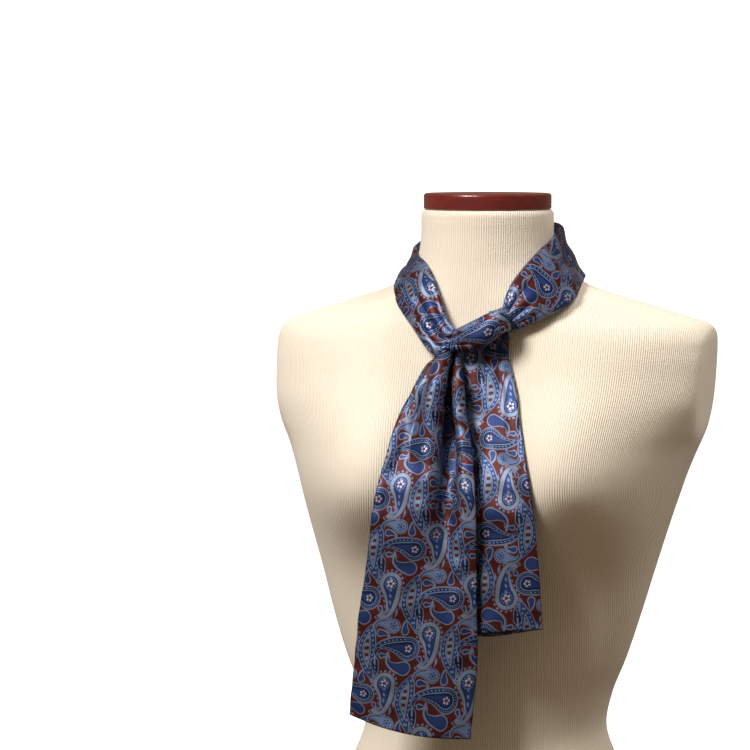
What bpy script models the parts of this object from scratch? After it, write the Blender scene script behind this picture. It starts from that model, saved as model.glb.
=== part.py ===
"""Silk tie scarf knotted round the neck of a limbless dress form.

Metres, +Z up. The form's front faces -Y and +X is on the right seen from the front. The tables are
written in the form's own frame, where x = 0 is its middle and y = 0 lies between chest and back, and
the finished object is moved along Y so that its box is centred on the origin and stands on z = 0.
"""
import bpy
import bmesh
import numpy as np

# Finishes, colours in linear light
JERSEY = {"colour": (0.72, 0.60, 0.42), "roughness": 0.85}
WOOD = {"colour": (0.11, 0.016, 0.012), "roughness": 0.25}
SILK = {"colour": (0.060, 0.045, 0.110), "roughness": 0.38}
SHARP_ANGLE = 0.9

# Sizes of the dress form
FORM_HEIGHT = 0.700
CAP_THICKNESS = 0.0140
CAP_RADIUS = 0.0555
CAP_EDGE_RADIUS = 0.0022
NECK_CENTRE_Y = -0.018
SEAT_GAP = 0.0003
NECK_TOP = FORM_HEIGHT - CAP_THICKNESS - SEAT_GAP
NECK_RIM_ROUND = 0.0012
FORM_RINGS = 46
FORM_SIDES = 52
CAP_SIDES = 48
CAP_EDGE_STEPS = 4
OUTLINE_STEPS = 800

# One row for each height of the form, from the flat base up to the neck
FORM_COLUMNS = ("z", "half_width", "centre_y", "front_y", "back_y", "fullness")
FORM_ROWS = (
    (0.0000, 0.1660, -0.012, -0.1150, 0.1120, 2.25),
    (0.0500, 0.1645, -0.012, -0.1165, 0.1115, 2.25),
    (0.0900, 0.1590, -0.014, -0.1150, 0.1060, 2.20),
    (0.1300, 0.1480, -0.017, -0.1120, 0.0930, 2.20),
    (0.1700, 0.1330, -0.021, -0.1065, 0.0780, 2.15),
    (0.2070, 0.1166, -0.023, -0.1015, 0.0670, 2.10),
    (0.2365, 0.1067, -0.022, -0.0990, 0.0640, 2.10),
    (0.2650, 0.1115, -0.022, -0.0990, 0.0670, 2.10),
    (0.2960, 0.1235, -0.022, -0.1000, 0.0730, 2.15),
    (0.3345, 0.1358, -0.019, -0.1020, 0.0810, 2.20),
    (0.3700, 0.1457, -0.012, -0.1055, 0.0880, 2.25),
    (0.4050, 0.1556, -0.004, -0.1085, 0.0935, 2.30),
    (0.4350, 0.1645, 0.004, -0.1100, 0.0975, 2.35),
    (0.4650, 0.1745, 0.012, -0.1095, 0.1005, 2.40),
    (0.4850, 0.1835, 0.018, -0.1075, 0.1015, 2.40),
    (0.5000, 0.1930, 0.024, -0.1055, 0.1010, 2.40),
    (0.5200, 0.2020, 0.029, -0.1025, 0.0990, 2.40),
    (0.5450, 0.2035, 0.031, -0.0980, 0.0950, 2.35),
    (0.5650, 0.2015, 0.031, -0.0942, 0.0900, 2.30),
    (0.5780, 0.1975, 0.029, -0.0915, 0.0850, 2.20),
    (0.5875, 0.1860, 0.026, -0.0895, 0.0800, 2.10),
    (0.5977, 0.1540, 0.021, -0.0872, 0.0740, 2.00),
    (0.6082, 0.1205, 0.013, -0.0850, 0.0670, 2.00),
    (0.6186, 0.0890, 0.004, -0.0830, 0.0600, 2.00),
    (0.6280, 0.0745, -0.005, -0.0812, 0.0540, 2.00),
    (0.6380, 0.0650, -0.012, -0.0795, 0.0480, 2.00),
    (0.6500, 0.0595, -0.017, -0.0780, 0.0430, 2.00),
    (0.6650, 0.0577, -0.018, -0.0765, 0.0405, 2.00),
    (0.6800, 0.0575, -0.018, -0.0757, 0.0395, 2.00),
    (0.6845, 0.0570, -0.018, -0.0750, 0.0390, 2.00),
    (NECK_TOP, 0.0558, -0.018, -0.0738, 0.0378, 2.00),
)

# The bust: two soft rises on the front
BUST_X = 0.088
BUST_Z = 0.455
BUST_RISE = 0.047
BUST_SPREAD_X = 0.060
BUST_SPREAD_UP = 0.080
BUST_SPREAD_DOWN = 0.058
BUST_BLEND = 4.0

# The armhole plates: flat sides where the shoulders are cut off, leaning in towards the waist. Below
# their foot nothing presses the sides flat, so the hips are round.
PLATE_X = 0.1925
PLATE_Z = 0.565
PLATE_LEAN = 0.10
PLATE_FOOT = 0.30
PLATE_EDGE = 0.0025

# Scarf. Every stretch is a band between two edges, edge a and edge b, with a row for each section:
# where it is along the stretch, the two edges, how far the middle rises outwards, and its thickness.
BAND_COLUMNS = ("along", "ax", "ay", "az", "bx", "by", "bz", "rise", "thickness")

# Edge a is the upper edge and edge b the lower one, from the knot round the neck and back to the knot
COLLAR_ROWS = (
    (0.00, -0.0068, -0.1080, 0.5865, -0.0115, -0.1110, 0.5682, 0.0015, 0.0065),
    (0.50, -0.0112, -0.1050, 0.5908, -0.0259, -0.1090, 0.5643, 0.0025, 0.0065),
    (1.00, -0.0181, -0.0985, 0.6003, -0.0403, -0.1010, 0.5786, 0.0035, 0.0065),
    (1.60, -0.0258, -0.0895, 0.6157, -0.0527, -0.0905, 0.5915, 0.0035, 0.0060),
    (2.20, -0.0331, -0.0805, 0.6292, -0.0649, -0.0780, 0.6044, 0.0025, 0.0055),
    (2.80, -0.0417, -0.0690, 0.6401, -0.0747, -0.0570, 0.6158, 0.0005, 0.0050),
    (3.50, -0.0545, -0.0505, 0.6480, -0.0800, -0.0300, 0.6245, -0.0015, 0.0050),
    (4.30, -0.0625, -0.0250, 0.6540, -0.0780, 0.0000, 0.6300, -0.0020, 0.0050),
    (5.20, -0.0605, 0.0080, 0.6600, -0.0715, 0.0290, 0.6300, -0.0010, 0.0050),
    (6.10, -0.0455, 0.0335, 0.6685, -0.0540, 0.0500, 0.6275, 0.0005, 0.0050),
    (7.00, -0.0200, 0.0445, 0.6745, -0.0240, 0.0610, 0.6250, 0.0015, 0.0050),
    (7.60, 0.0000, 0.0460, 0.6750, 0.0000, 0.0630, 0.6245, 0.0020, 0.0050),
    (8.20, 0.0220, 0.0440, 0.6750, 0.0260, 0.0615, 0.6250, 0.0015, 0.0050),
    (9.10, 0.0460, 0.0335, 0.6740, 0.0560, 0.0500, 0.6265, 0.0005, 0.0050),
    (10.00, 0.0595, 0.0100, 0.6715, 0.0770, 0.0270, 0.6275, -0.0035, 0.0050),
    (10.80, 0.0610, -0.0150, 0.6680, 0.0830, -0.0050, 0.6252, -0.0060, 0.0050),
    (11.60, 0.0590, -0.0390, 0.6602, 0.0862, -0.0350, 0.6208, -0.0030, 0.0050),
    (12.30, 0.0520, -0.0600, 0.6504, 0.0871, -0.0630, 0.6117, 0.0010, 0.0055),
    (13.00, 0.0426, -0.0760, 0.6365, 0.0773, -0.0800, 0.6032, 0.0030, 0.0065),
    (13.60, 0.0358, -0.0870, 0.6245, 0.0653, -0.0890, 0.5962, 0.0040, 0.0075),
    (14.20, 0.0324, -0.0940, 0.6135, 0.0510, -0.0945, 0.5896, 0.0035, 0.0085),
    (14.80, 0.0305, -0.0975, 0.6050, 0.0391, -0.0975, 0.5846, 0.0020, 0.0090),
    (15.30, 0.0194, -0.0980, 0.6015, 0.0367, -0.0985, 0.5816, 0.0010, 0.0090),
)
COLLAR_LEFT = (0.0, 4.3)
COLLAR_BACK = (4.3, 10.0)
COLLAR_RIGHT = (10.0, 15.3)
KNOT_SPAN = (0.0, 4.8)

# Edge a is the bottom edge and edge b the top one, from the pinch on the left to the turn on the right
KNOT_ROWS = (
    (0.0, -0.0082, -0.1115, 0.5679, -0.0060, -0.1080, 0.5869, 0.0010, 0.0075),
    (1.0, 0.0076, -0.1125, 0.5685, 0.0032, -0.1090, 0.5910, 0.0015, 0.0130),
    (2.0, 0.0189, -0.1125, 0.5721, 0.0126, -0.1095, 0.5955, 0.0015, 0.0145),
    (3.0, 0.0290, -0.1120, 0.5791, 0.0218, -0.1095, 0.6001, 0.0015, 0.0140),
    (4.0, 0.0355, -0.1105, 0.5852, 0.0300, -0.1085, 0.6036, 0.0010, 0.0110),
    (4.8, 0.0390, -0.1085, 0.5867, 0.0352, -0.1065, 0.6048, 0.0000, 0.0070),
)

# Edge a is the left edge and edge b the right one, from the knot down to the hem
TAIL_LONG_ROWS = (
    (0.0, -0.0242, -0.1012, 0.5742, -0.0045, -0.1036, 0.5783, 0.0000, 0.0070),
    (0.7, -0.0268, -0.1015, 0.5622, -0.0032, -0.1045, 0.5644, 0.0005, 0.0070),
    (1.3, -0.0330, -0.1080, 0.5530, 0.0005, -0.1120, 0.5534, 0.0035, 0.0100),
    (2.0, -0.0397, -0.1150, 0.5394, 0.0038, -0.1200, 0.5405, 0.0040, 0.0105),
    (3.0, -0.0498, -0.1215, 0.5194, 0.0073, -0.1280, 0.5180, 0.0030, 0.0095),
    (3.7, -0.0542, -0.1275, 0.5053, 0.0109, -0.1345, 0.5051, 0.0020, 0.0085),
    (4.9, -0.0590, -0.1400, 0.4812, 0.0166, -0.1455, 0.4822, 0.0000, 0.0070),
    (6.0, -0.0641, -0.1525, 0.4579, 0.0206, -0.1565, 0.4593, -0.0010, 0.0058),
    (7.2, -0.0679, -0.1575, 0.4318, 0.0225, -0.1595, 0.4333, 0.0000, 0.0050),
    (8.8, -0.0715, -0.1575, 0.3982, 0.0228, -0.1590, 0.3998, 0.0010, 0.0045),
    (11.0, -0.0791, -0.1570, 0.3490, 0.0232, -0.1585, 0.3527, 0.0020, 0.0042),
    (13.2, -0.0843, -0.1560, 0.3002, 0.0232, -0.1575, 0.3067, 0.0030, 0.0042),
    (15.0, -0.0881, -0.1555, 0.2620, 0.0175, -0.1565, 0.2460, 0.0040, 0.0045),
)

TAIL_SHORT_ROWS = (
    (0.0, 0.0184, -0.0977, 0.5998, 0.0369, -0.0980, 0.5801, 0.0000, 0.0085),
    (0.5, 0.0075, -0.0965, 0.5850, 0.0370, -0.0975, 0.5715, 0.0000, 0.0070),
    (1.0, 0.0030, -0.0975, 0.5700, 0.0378, -0.0985, 0.5635, 0.0000, 0.0060),
    (1.8, -0.0060, -0.1010, 0.5453, 0.0418, -0.1020, 0.5500, 0.0010, 0.0048),
    (2.6, -0.0132, -0.1045, 0.5293, 0.0477, -0.1060, 0.5325, 0.0010, 0.0045),
    (3.4, -0.0149, -0.1110, 0.5133, 0.0514, -0.1135, 0.5155, 0.0010, 0.0045),
    (4.6, -0.0190, -0.1230, 0.4883, 0.0581, -0.1280, 0.4908, 0.0000, 0.0042),
    (6.0, -0.0228, -0.1370, 0.4593, 0.0657, -0.1450, 0.4620, 0.0000, 0.0042),
    (7.2, -0.0263, -0.1450, 0.4352, 0.0695, -0.1510, 0.4385, 0.0000, 0.0042),
    (8.4, -0.0303, -0.1465, 0.4102, 0.0720, -0.1510, 0.4136, 0.0000, 0.0042),
    (10.2, -0.0334, -0.1465, 0.3740, 0.0750, -0.1495, 0.3772, 0.0010, 0.0042),
    (12.0, -0.0354, -0.1460, 0.3350, 0.0772, -0.1480, 0.3394, 0.0010, 0.0045),
)

# Soft troughs: where one starts and ends along the band, its place across there (0 at edge a, 1 at
# edge b), its half width across, and its depth; a ridge has a negative depth
FOLD_COLUMNS = ("start", "end", "across_start", "across_end", "half_width", "depth")
COLLAR_FOLDS = (
    (10.8, 15.2, 0.30, 0.35, 0.09, 0.0030),
    (11.8, 15.2, 0.62, 0.60, 0.08, 0.0026),
    (12.9, 15.0, 0.84, 0.80, 0.06, 0.0020),
    (0.1, 2.6, 0.40, 0.55, 0.09, 0.0022),
    (5.0, 9.8, 0.45, 0.40, 0.12, 0.0012),
)
KNOT_FOLDS = (
    (-0.6, 2.6, 0.70, 0.82, 0.08, 0.0016),
    (2.2, 5.6, 0.30, 0.45, 0.09, 0.0014),
)
TAIL_LONG_FOLDS = (
    (0.4, 7.4, 0.74, 0.70, 0.075, 0.0078),
    (0.4, 5.6, 0.36, 0.28, 0.080, 0.0030),
    (3.2, 12.5, 0.12, 0.20, 0.080, 0.0016),
    (7.0, 15.6, 0.56, 0.46, 0.120, 0.0022),
    (9.5, 16.0, 0.86, 0.78, 0.070, -0.0016),
)
TAIL_SHORT_FOLDS = (
    (0.2, 6.4, 0.52, 0.46, 0.090, 0.0030),
    (0.6, 5.0, 0.78, 0.80, 0.060, 0.0016),
    (5.6, 13.0, 0.66, 0.72, 0.110, 0.0016),
)

BAND_COUNT_ACROSS = 13
FOLD_FADE = 0.8
SEAM_GAP = 0.0006

# Where the cloth lies on the chest it keeps this clearance, more where the chest slopes
CHEST_Y = -0.070
RESTING_GAP = 0.0010
RESTING_SLOPE = 1.40

# The groove between the two folded layers along a band's edge b, and how full the rounded edges are
LIP_GROOVE = 0.0016
GROOVE_FADE = 1.5
CLOTH_EDGE = 4.0
KNOT_EDGE = 2.4

# Step along a band for finding its direction
NEAR = 0.02

# The open ends of the tube: a front and a back lip with a hollow between them
HEM_WALL = 0.0012
HEM_DEPTH = 0.012
HEM_ROWS = 4
LONG_HEM_SAG = 0.0055
SHORT_HEM_SAG = 0.0015
SHORT_BACK_LAYER_DROP = 0.0040
SAG_POWER = 6
POCKET_MARGIN = 0.02


def smooth_rows(rows, at):
    """Read a table at the given positions on a smooth curve through its rows.

    The first column is the position; cubic pieces join the rows, with each row's slope taken from
    its neighbours."""
    table = np.array(rows, float)
    place, values = table[:, 0], table[:, 1:]
    slopes = np.gradient(values, place, axis=0)
    at = np.asarray(at, float)
    low = np.clip(np.searchsorted(place, at) - 1, 0, len(place) - 2)
    step = (place[low + 1] - place[low])[:, None]
    t = ((at - place[low]) / step[:, 0])[:, None]
    return ((2 * t**3 - 3 * t**2 + 1) * values[low] + (t**3 - 2 * t**2 + t) * step * slopes[low]
            + (3 * t**2 - 2 * t**3) * values[low + 1] + (t**3 - t**2) * step * slopes[low + 1])


def read_table(columns, rows, at):
    """The table's values at the given positions, by the name of their column."""
    return dict(zip(columns[1:], smooth_rows(rows, at).T))


def bust_rise(x, z):
    """How far the bust stands out at x and z: two bell curves, shorter below than above."""
    spread = np.where(z > BUST_Z, BUST_SPREAD_UP, BUST_SPREAD_DOWN)
    upright = np.exp(-((z - BUST_Z) / spread)**2)
    sideways = (np.exp(-((x - BUST_X) / BUST_SPREAD_X)**2)
                + np.exp(-((x + BUST_X) / BUST_SPREAD_X)**2))
    return BUST_RISE * upright * sideways


def form_front(x, z):
    """Depth of the form's front at x and z, from the same ovals as its skin."""
    section = read_table(FORM_COLUMNS, FORM_ROWS, z)
    share = np.clip(np.abs(x) / section["half_width"], 0, 1)
    bulge = (1 - share**section["fullness"])**(1 / section["fullness"])
    reach = section["centre_y"] - section["front_y"]
    return section["centre_y"] - reach * bulge - bust_rise(x, z)


def form_surface(turn, z):
    """The form's skin: an oval of growing fullness at each height, with the bust added to the front
    and both sides pressed flat where they would pass the armhole plates.

    turn runs from 0 at +X through a quarter at the front."""
    section = read_table(FORM_COLUMNS, FORM_ROWS, z)
    centre = section["centre_y"]
    cosine, sine = np.cos(turn), np.sin(turn)
    power = 2 / section["fullness"]
    x = section["half_width"] * np.sign(cosine) * np.abs(cosine)**power
    reach = np.where(sine > 0, centre - section["front_y"], section["back_y"] - centre)
    y = centre - reach * np.sign(sine) * np.abs(sine)**power
    y = y - np.where(sine > 0, bust_rise(x, z) * np.clip(sine * BUST_BLEND, 0, 1), 0)
    plate = np.where(z > PLATE_FOOT, PLATE_X - PLATE_LEAN * (PLATE_Z - z), PLATE_X)
    inside = -PLATE_EDGE * np.logaddexp(-np.abs(x) / PLATE_EDGE, -plate / PLATE_EDGE)
    return np.stack([np.sign(x) * np.maximum(inside, 0), y, z], axis=-1)


def even_heights(count):
    """Heights of the form's rings, spaced evenly along its side outline up to the rim of the neck."""
    fine = np.linspace(0, NECK_TOP - NECK_RIM_ROUND, OUTLINE_STEPS)
    half_width = np.minimum(read_table(FORM_COLUMNS, FORM_ROWS, fine)["half_width"], PLATE_X)
    run = np.concatenate([[0], np.cumsum(np.hypot(np.diff(half_width), np.diff(fine)))])
    return np.append(np.interp(np.linspace(0, run[-1], count - 1), run, fine), NECK_TOP)


def closed_mesh(name, points, faces, colour, roughness):
    """Make an object of the given closed mesh, facing outwards and shaded smooth."""
    mesh = bpy.data.meshes.new(name)
    mesh.from_pydata(points.tolist(), [], faces)
    work = bmesh.new()
    work.from_mesh(mesh)
    bmesh.ops.recalc_face_normals(work, faces=work.faces)
    bmesh.ops.triangulate(work, faces=work.faces)
    work.to_mesh(mesh)
    work.free()
    mesh.shade_smooth()
    mesh.set_sharp_from_angle(angle=SHARP_ANGLE)
    material = bpy.data.materials.new(name)
    material.use_nodes = True
    shader = material.node_tree.nodes["Principled BSDF"]
    shader.inputs["Base Color"].default_value = (*colour, 1)
    shader.inputs["Roughness"].default_value = roughness
    mesh.materials.append(material)
    made = bpy.data.objects.new(name, mesh)
    bpy.context.collection.objects.link(made)
    return made


def loop_faces(loops, count):
    """Four-sided faces between each closed loop of points and the next."""
    return [(row * count + i, row * count + (i + 1) % count,
             (row + 1) * count + (i + 1) % count, (row + 1) * count + i)
            for row in range(loops - 1) for i in range(count)]


def oval_solid(name, loops, colour, roughness):
    """Solid through closed loops, one above the other, with a flat fan at each end."""
    rows, count = loops.shape[:2]
    points = loops.reshape(-1, 3)
    ends = np.stack([loops[0].mean(axis=0), loops[-1].mean(axis=0)])
    faces = loop_faces(rows, count)
    faces += [(i, (i + 1) % count, rows * count) for i in range(count)]
    top = (rows - 1) * count
    faces += [(top + (i + 1) % count, top + i, rows * count + 1) for i in range(count)]
    return closed_mesh(name, np.vstack([points, ends]), faces, colour, roughness)


def band_edges(rows, along):
    """The band's two edges as points, at the given places along it."""
    section = read_table(BAND_COLUMNS, rows, along)
    return [np.stack([section[edge + axis] for axis in "xyz"], axis=-1) for edge in "ab"]


def band_lifted(rows, along, across, folds):
    """Points of a band's middle surface: straight between its edges, raised in the middle and
    folded, each fold fading in and out along the band. In front of the form's chest the cloth
    rests on it, its back no nearer than the resting gap."""
    section = read_table(BAND_COLUMNS, rows, along)
    edge_a, edge_b = band_edges(rows, along)
    onward = sum(band_edges(rows, along + NEAR)) - sum(band_edges(rows, along - NEAR))
    outward = np.cross(onward, edge_b - edge_a)
    outward /= np.linalg.norm(outward, axis=1, keepdims=True)
    lift = section["rise"][:, None] * 4 * across * (1 - across)
    for fold in [dict(zip(FOLD_COLUMNS, row)) for row in folds]:
        part = np.clip((along - fold["start"]) / (fold["end"] - fold["start"]), 0, 1)
        fade = np.sin(np.pi * part)**FOLD_FADE
        centre = fold["across_start"] + (fold["across_end"] - fold["across_start"]) * part
        away = (across - centre[:, None]) / fold["half_width"]
        lift = lift - fold["depth"] * fade[:, None] * np.exp(-away**2)
    points = edge_a[:, None] + (edge_b - edge_a)[:, None] * across[None, :, None]
    points += outward[:, None] * lift[:, :, None]
    chest = points[:, :, 1] < CHEST_Y
    resting = form_front(points[:, :, 0].ravel(), points[:, :, 2].ravel()).reshape(chest.shape)
    resting = resting - (section["thickness"][:, None] / 2 + RESTING_GAP) * RESTING_SLOPE
    points[:, :, 1] = np.where(chest, np.minimum(points[:, :, 1], resting), points[:, :, 1])
    return points


def band_middle(rows, along, across, folds):
    """A band's middle surface with the outward directions and the thickness at each section.

    The directions are square to the surface, on the side that faces away from the form."""
    points = band_lifted(rows, along, across, folds)
    onward = (band_lifted(rows, along + NEAR, across, folds)
              - band_lifted(rows, along - NEAR, across, folds))
    square = np.cross(onward, np.gradient(points, axis=1))
    outward = square / np.linalg.norm(square, axis=2, keepdims=True)
    return points, outward, read_table(BAND_COLUMNS, rows, along)["thickness"]


def around_band(points, outward, half_thickness, across, edge_fullness=CLOTH_EDGE):
    """Closed loop round a band at each section: out along its front and home along its back."""
    rounded = np.sqrt(np.clip(1 - np.abs(2 * across - 1)**edge_fullness, 0, 1))
    offset = outward * (half_thickness[:, None] * rounded)[:, :, None]
    return np.concatenate([points + offset, (points - offset)[:, -2:0:-1]], axis=1)


def zipped_cap(first, count_across, count, flip):
    """Faces that close a flat loop by joining its front points to its back points."""
    front = [first + i for i in range(count_across)]
    back = [front[0]] + [first + count - i for i in range(1, count_across - 1)] + [front[-1]]
    last = count_across - 1
    faces = [(front[0], front[1], back[1])]
    faces += [(front[i], front[i + 1], back[i + 1], back[i]) for i in range(1, last - 2)]
    faces += [(front[last - 2], front[last - 1], front[last]),
              (front[last - 2], front[last], back[last - 2]),
              (front[last], back[last - 1], back[last - 2])]
    return [face[::-1] for face in faces] if flip else faces


def across_places():
    """Places across a band, closer together towards its rounded edges."""
    return (1 - np.cos(np.linspace(0, np.pi, BAND_COUNT_ACROSS))) / 2


def band_solid(name, rows, folds, span, sections, groove=LIP_GROOVE, edge_fullness=CLOTH_EDGE):
    """Solid of a stretch of the scarf, with a groove along edge b between its folded layers."""
    across = across_places()
    start, end = span
    fine = np.linspace(start, end, OUTLINE_STEPS)
    middle = sum(band_edges(rows, fine)) / 2
    run = np.concatenate([[0], np.cumsum(np.linalg.norm(np.diff(middle, axis=0), axis=1))])
    along = np.interp(np.linspace(0, run[-1] - SEAM_GAP, sections), run, fine)
    points, outward, thickness = band_middle(rows, along, across, folds)
    loops = around_band(points, outward, thickness / 2, across, edge_fullness)
    inward = points[:, -2] - points[:, -1]
    inward /= np.linalg.norm(inward, axis=1, keepdims=True)
    fade = np.clip((along - rows[0][0]) / GROOVE_FADE, 0, 1)
    fade *= np.clip((rows[-1][0] - along) / GROOVE_FADE, 0, 1)
    loops[:, BAND_COUNT_ACROSS - 1] += inward * groove * fade[:, None]
    count = loops.shape[1]
    faces = loop_faces(sections, count)
    faces += zipped_cap(0, BAND_COUNT_ACROSS, count, True)
    faces += zipped_cap((sections - 1) * count, BAND_COUNT_ACROSS, count, False)
    return closed_mesh(name, loops.reshape(-1, 3), faces, **SILK)


def tail_solid(name, rows, folds, sections, sag, back_drop=0.0):
    """Solid of a hanging end: a closed band whose hem opens into a front and a back lip."""
    across = across_places()
    start, end = rows[0][0], rows[-1][0]
    bottom, top = (band_edges(rows, np.array([place]))[0][0] for place in (end, start))
    length = np.linalg.norm(top - bottom)
    hem_along = (end - start) * HEM_DEPTH / length
    along = np.concatenate([np.linspace(start, end - hem_along, sections, endpoint=False),
                            np.linspace(end - hem_along, end, HEM_ROWS)])
    points, outward, thickness = band_middle(rows, along, across, folds)
    share = np.clip((along - start) / (end - start), 0, 1)**SAG_POWER
    points[:, :, 2] -= sag * share[:, None] * np.sin(np.pi * across)
    outer = around_band(points, outward, thickness / 2, across)
    hollow = thickness[-HEM_ROWS:] / 2 - HEM_WALL
    inner_across = POCKET_MARGIN + (1 - 2 * POCKET_MARGIN) * across
    hem, left, right = points[-HEM_ROWS:], points[-HEM_ROWS:, :1], points[-HEM_ROWS:, -1:]
    inner_points = left + (hem - left) * (1 - 2 * POCKET_MARGIN) + (right - left) * POCKET_MARGIN
    inner = around_band(inner_points, outward[-HEM_ROWS:], hollow, inner_across)[::-1]
    drop = np.zeros(outer.shape[1])
    places = np.linspace(0, 1, len(drop) - BAND_COUNT_ACROSS + 2)[1:-1]
    drop[BAND_COUNT_ACROSS:] = back_drop * np.sin(np.pi * places)
    outer[:, :, 2] -= drop * share[:, None]
    inner[0, :, 2] -= drop
    loops = np.concatenate([outer, inner])
    count = loops.shape[1]
    faces = loop_faces(len(loops), count)
    faces += zipped_cap(0, BAND_COUNT_ACROSS, count, True)
    faces += zipped_cap((len(loops) - 1) * count, BAND_COUNT_ACROSS, count, False)
    return closed_mesh(name, loops.reshape(-1, 3), faces, **SILK)


def form_body():
    """Torso from hips to neck, with a flat base to stand on."""
    turn = np.linspace(0, 2 * np.pi, FORM_SIDES, endpoint=False)
    heights = even_heights(FORM_RINGS)
    loops = np.array([form_surface(turn, np.full(FORM_SIDES, z)) for z in heights])
    return oval_solid("form_body", loops, **JERSEY)


def neck_cap():
    """Turned wood disc on the neck, with both rims rounded."""
    turn = np.linspace(0, 2 * np.pi, CAP_SIDES, endpoint=False)
    rounding = np.linspace(0, np.pi / 2, CAP_EDGE_STEPS)
    inner = CAP_RADIUS - CAP_EDGE_RADIUS
    bottom = FORM_HEIGHT - CAP_THICKNESS
    lower = [(inner + CAP_EDGE_RADIUS * np.sin(a), bottom + CAP_EDGE_RADIUS * (1 - np.cos(a)))
             for a in rounding]
    upper = [(inner + CAP_EDGE_RADIUS * np.cos(a), FORM_HEIGHT - CAP_EDGE_RADIUS * (1 - np.sin(a)))
             for a in rounding]
    loops = np.array([np.stack([radius * np.cos(turn), NECK_CENTRE_Y - radius * np.sin(turn),
                                np.full(len(turn), z)], axis=-1) for radius, z in lower + upper])
    return oval_solid("neck_cap", loops, **WOOD)


def centre_on_origin(pieces):
    """Move all the points along Y, so that the object's box is centred on the origin."""
    depths = [point.co.y for piece in pieces for point in piece.data.vertices]
    shift = -(min(depths) + max(depths)) / 2
    for piece in pieces:
        for point in piece.data.vertices:
            point.co.y += shift


for old in list(bpy.data.objects):
    bpy.data.objects.remove(old)

scarf = [
    band_solid("collar_left", COLLAR_ROWS, COLLAR_FOLDS, COLLAR_LEFT, sections=16),
    band_solid("collar_back", COLLAR_ROWS, COLLAR_FOLDS, COLLAR_BACK, sections=16),
    band_solid("collar_right", COLLAR_ROWS, COLLAR_FOLDS, COLLAR_RIGHT, sections=18),
    band_solid("knot_wrap", KNOT_ROWS, KNOT_FOLDS, KNOT_SPAN, sections=12, groove=0.0,
               edge_fullness=KNOT_EDGE),
    tail_solid("tail_long", TAIL_LONG_ROWS, TAIL_LONG_FOLDS, sections=32, sag=LONG_HEM_SAG),
    tail_solid("tail_short", TAIL_SHORT_ROWS, TAIL_SHORT_FOLDS, sections=26, sag=SHORT_HEM_SAG,
               back_drop=SHORT_BACK_LAYER_DROP),
]
centre_on_origin([form_body(), neck_cap()] + scarf)
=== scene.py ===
"""Looks of a paisley silk scarf knotted on a limbless dress form.

Metres, +Z up, front towards -Y. The tables are written in the form's own frame, whose y = 0 lies between
chest and back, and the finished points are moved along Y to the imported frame.
"""
import bpy
import bmesh
import numpy as np
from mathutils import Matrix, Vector


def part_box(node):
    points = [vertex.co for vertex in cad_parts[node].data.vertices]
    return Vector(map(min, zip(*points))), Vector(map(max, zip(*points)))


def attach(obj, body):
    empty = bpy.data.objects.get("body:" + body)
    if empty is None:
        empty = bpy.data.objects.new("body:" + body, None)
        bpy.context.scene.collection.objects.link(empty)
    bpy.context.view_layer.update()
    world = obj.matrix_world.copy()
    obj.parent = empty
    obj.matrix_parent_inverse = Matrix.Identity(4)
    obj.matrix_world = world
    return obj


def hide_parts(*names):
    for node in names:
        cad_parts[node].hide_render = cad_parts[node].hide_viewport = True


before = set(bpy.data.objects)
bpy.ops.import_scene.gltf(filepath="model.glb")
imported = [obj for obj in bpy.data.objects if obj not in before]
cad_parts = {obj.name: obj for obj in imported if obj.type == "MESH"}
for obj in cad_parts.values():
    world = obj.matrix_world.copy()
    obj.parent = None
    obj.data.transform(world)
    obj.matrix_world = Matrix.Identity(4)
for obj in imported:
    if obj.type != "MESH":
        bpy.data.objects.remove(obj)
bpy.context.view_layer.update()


# Dress form, torso: a padded shell covered in cream cotton jersey with fine upright ribs, pulled on like
# a sock and drawn tight over the flat armhole plates, where the ribs no longer show.
FORM_COLUMNS = ("z", "half_width", "centre_y", "front_y", "back_y", "fullness")
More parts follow.
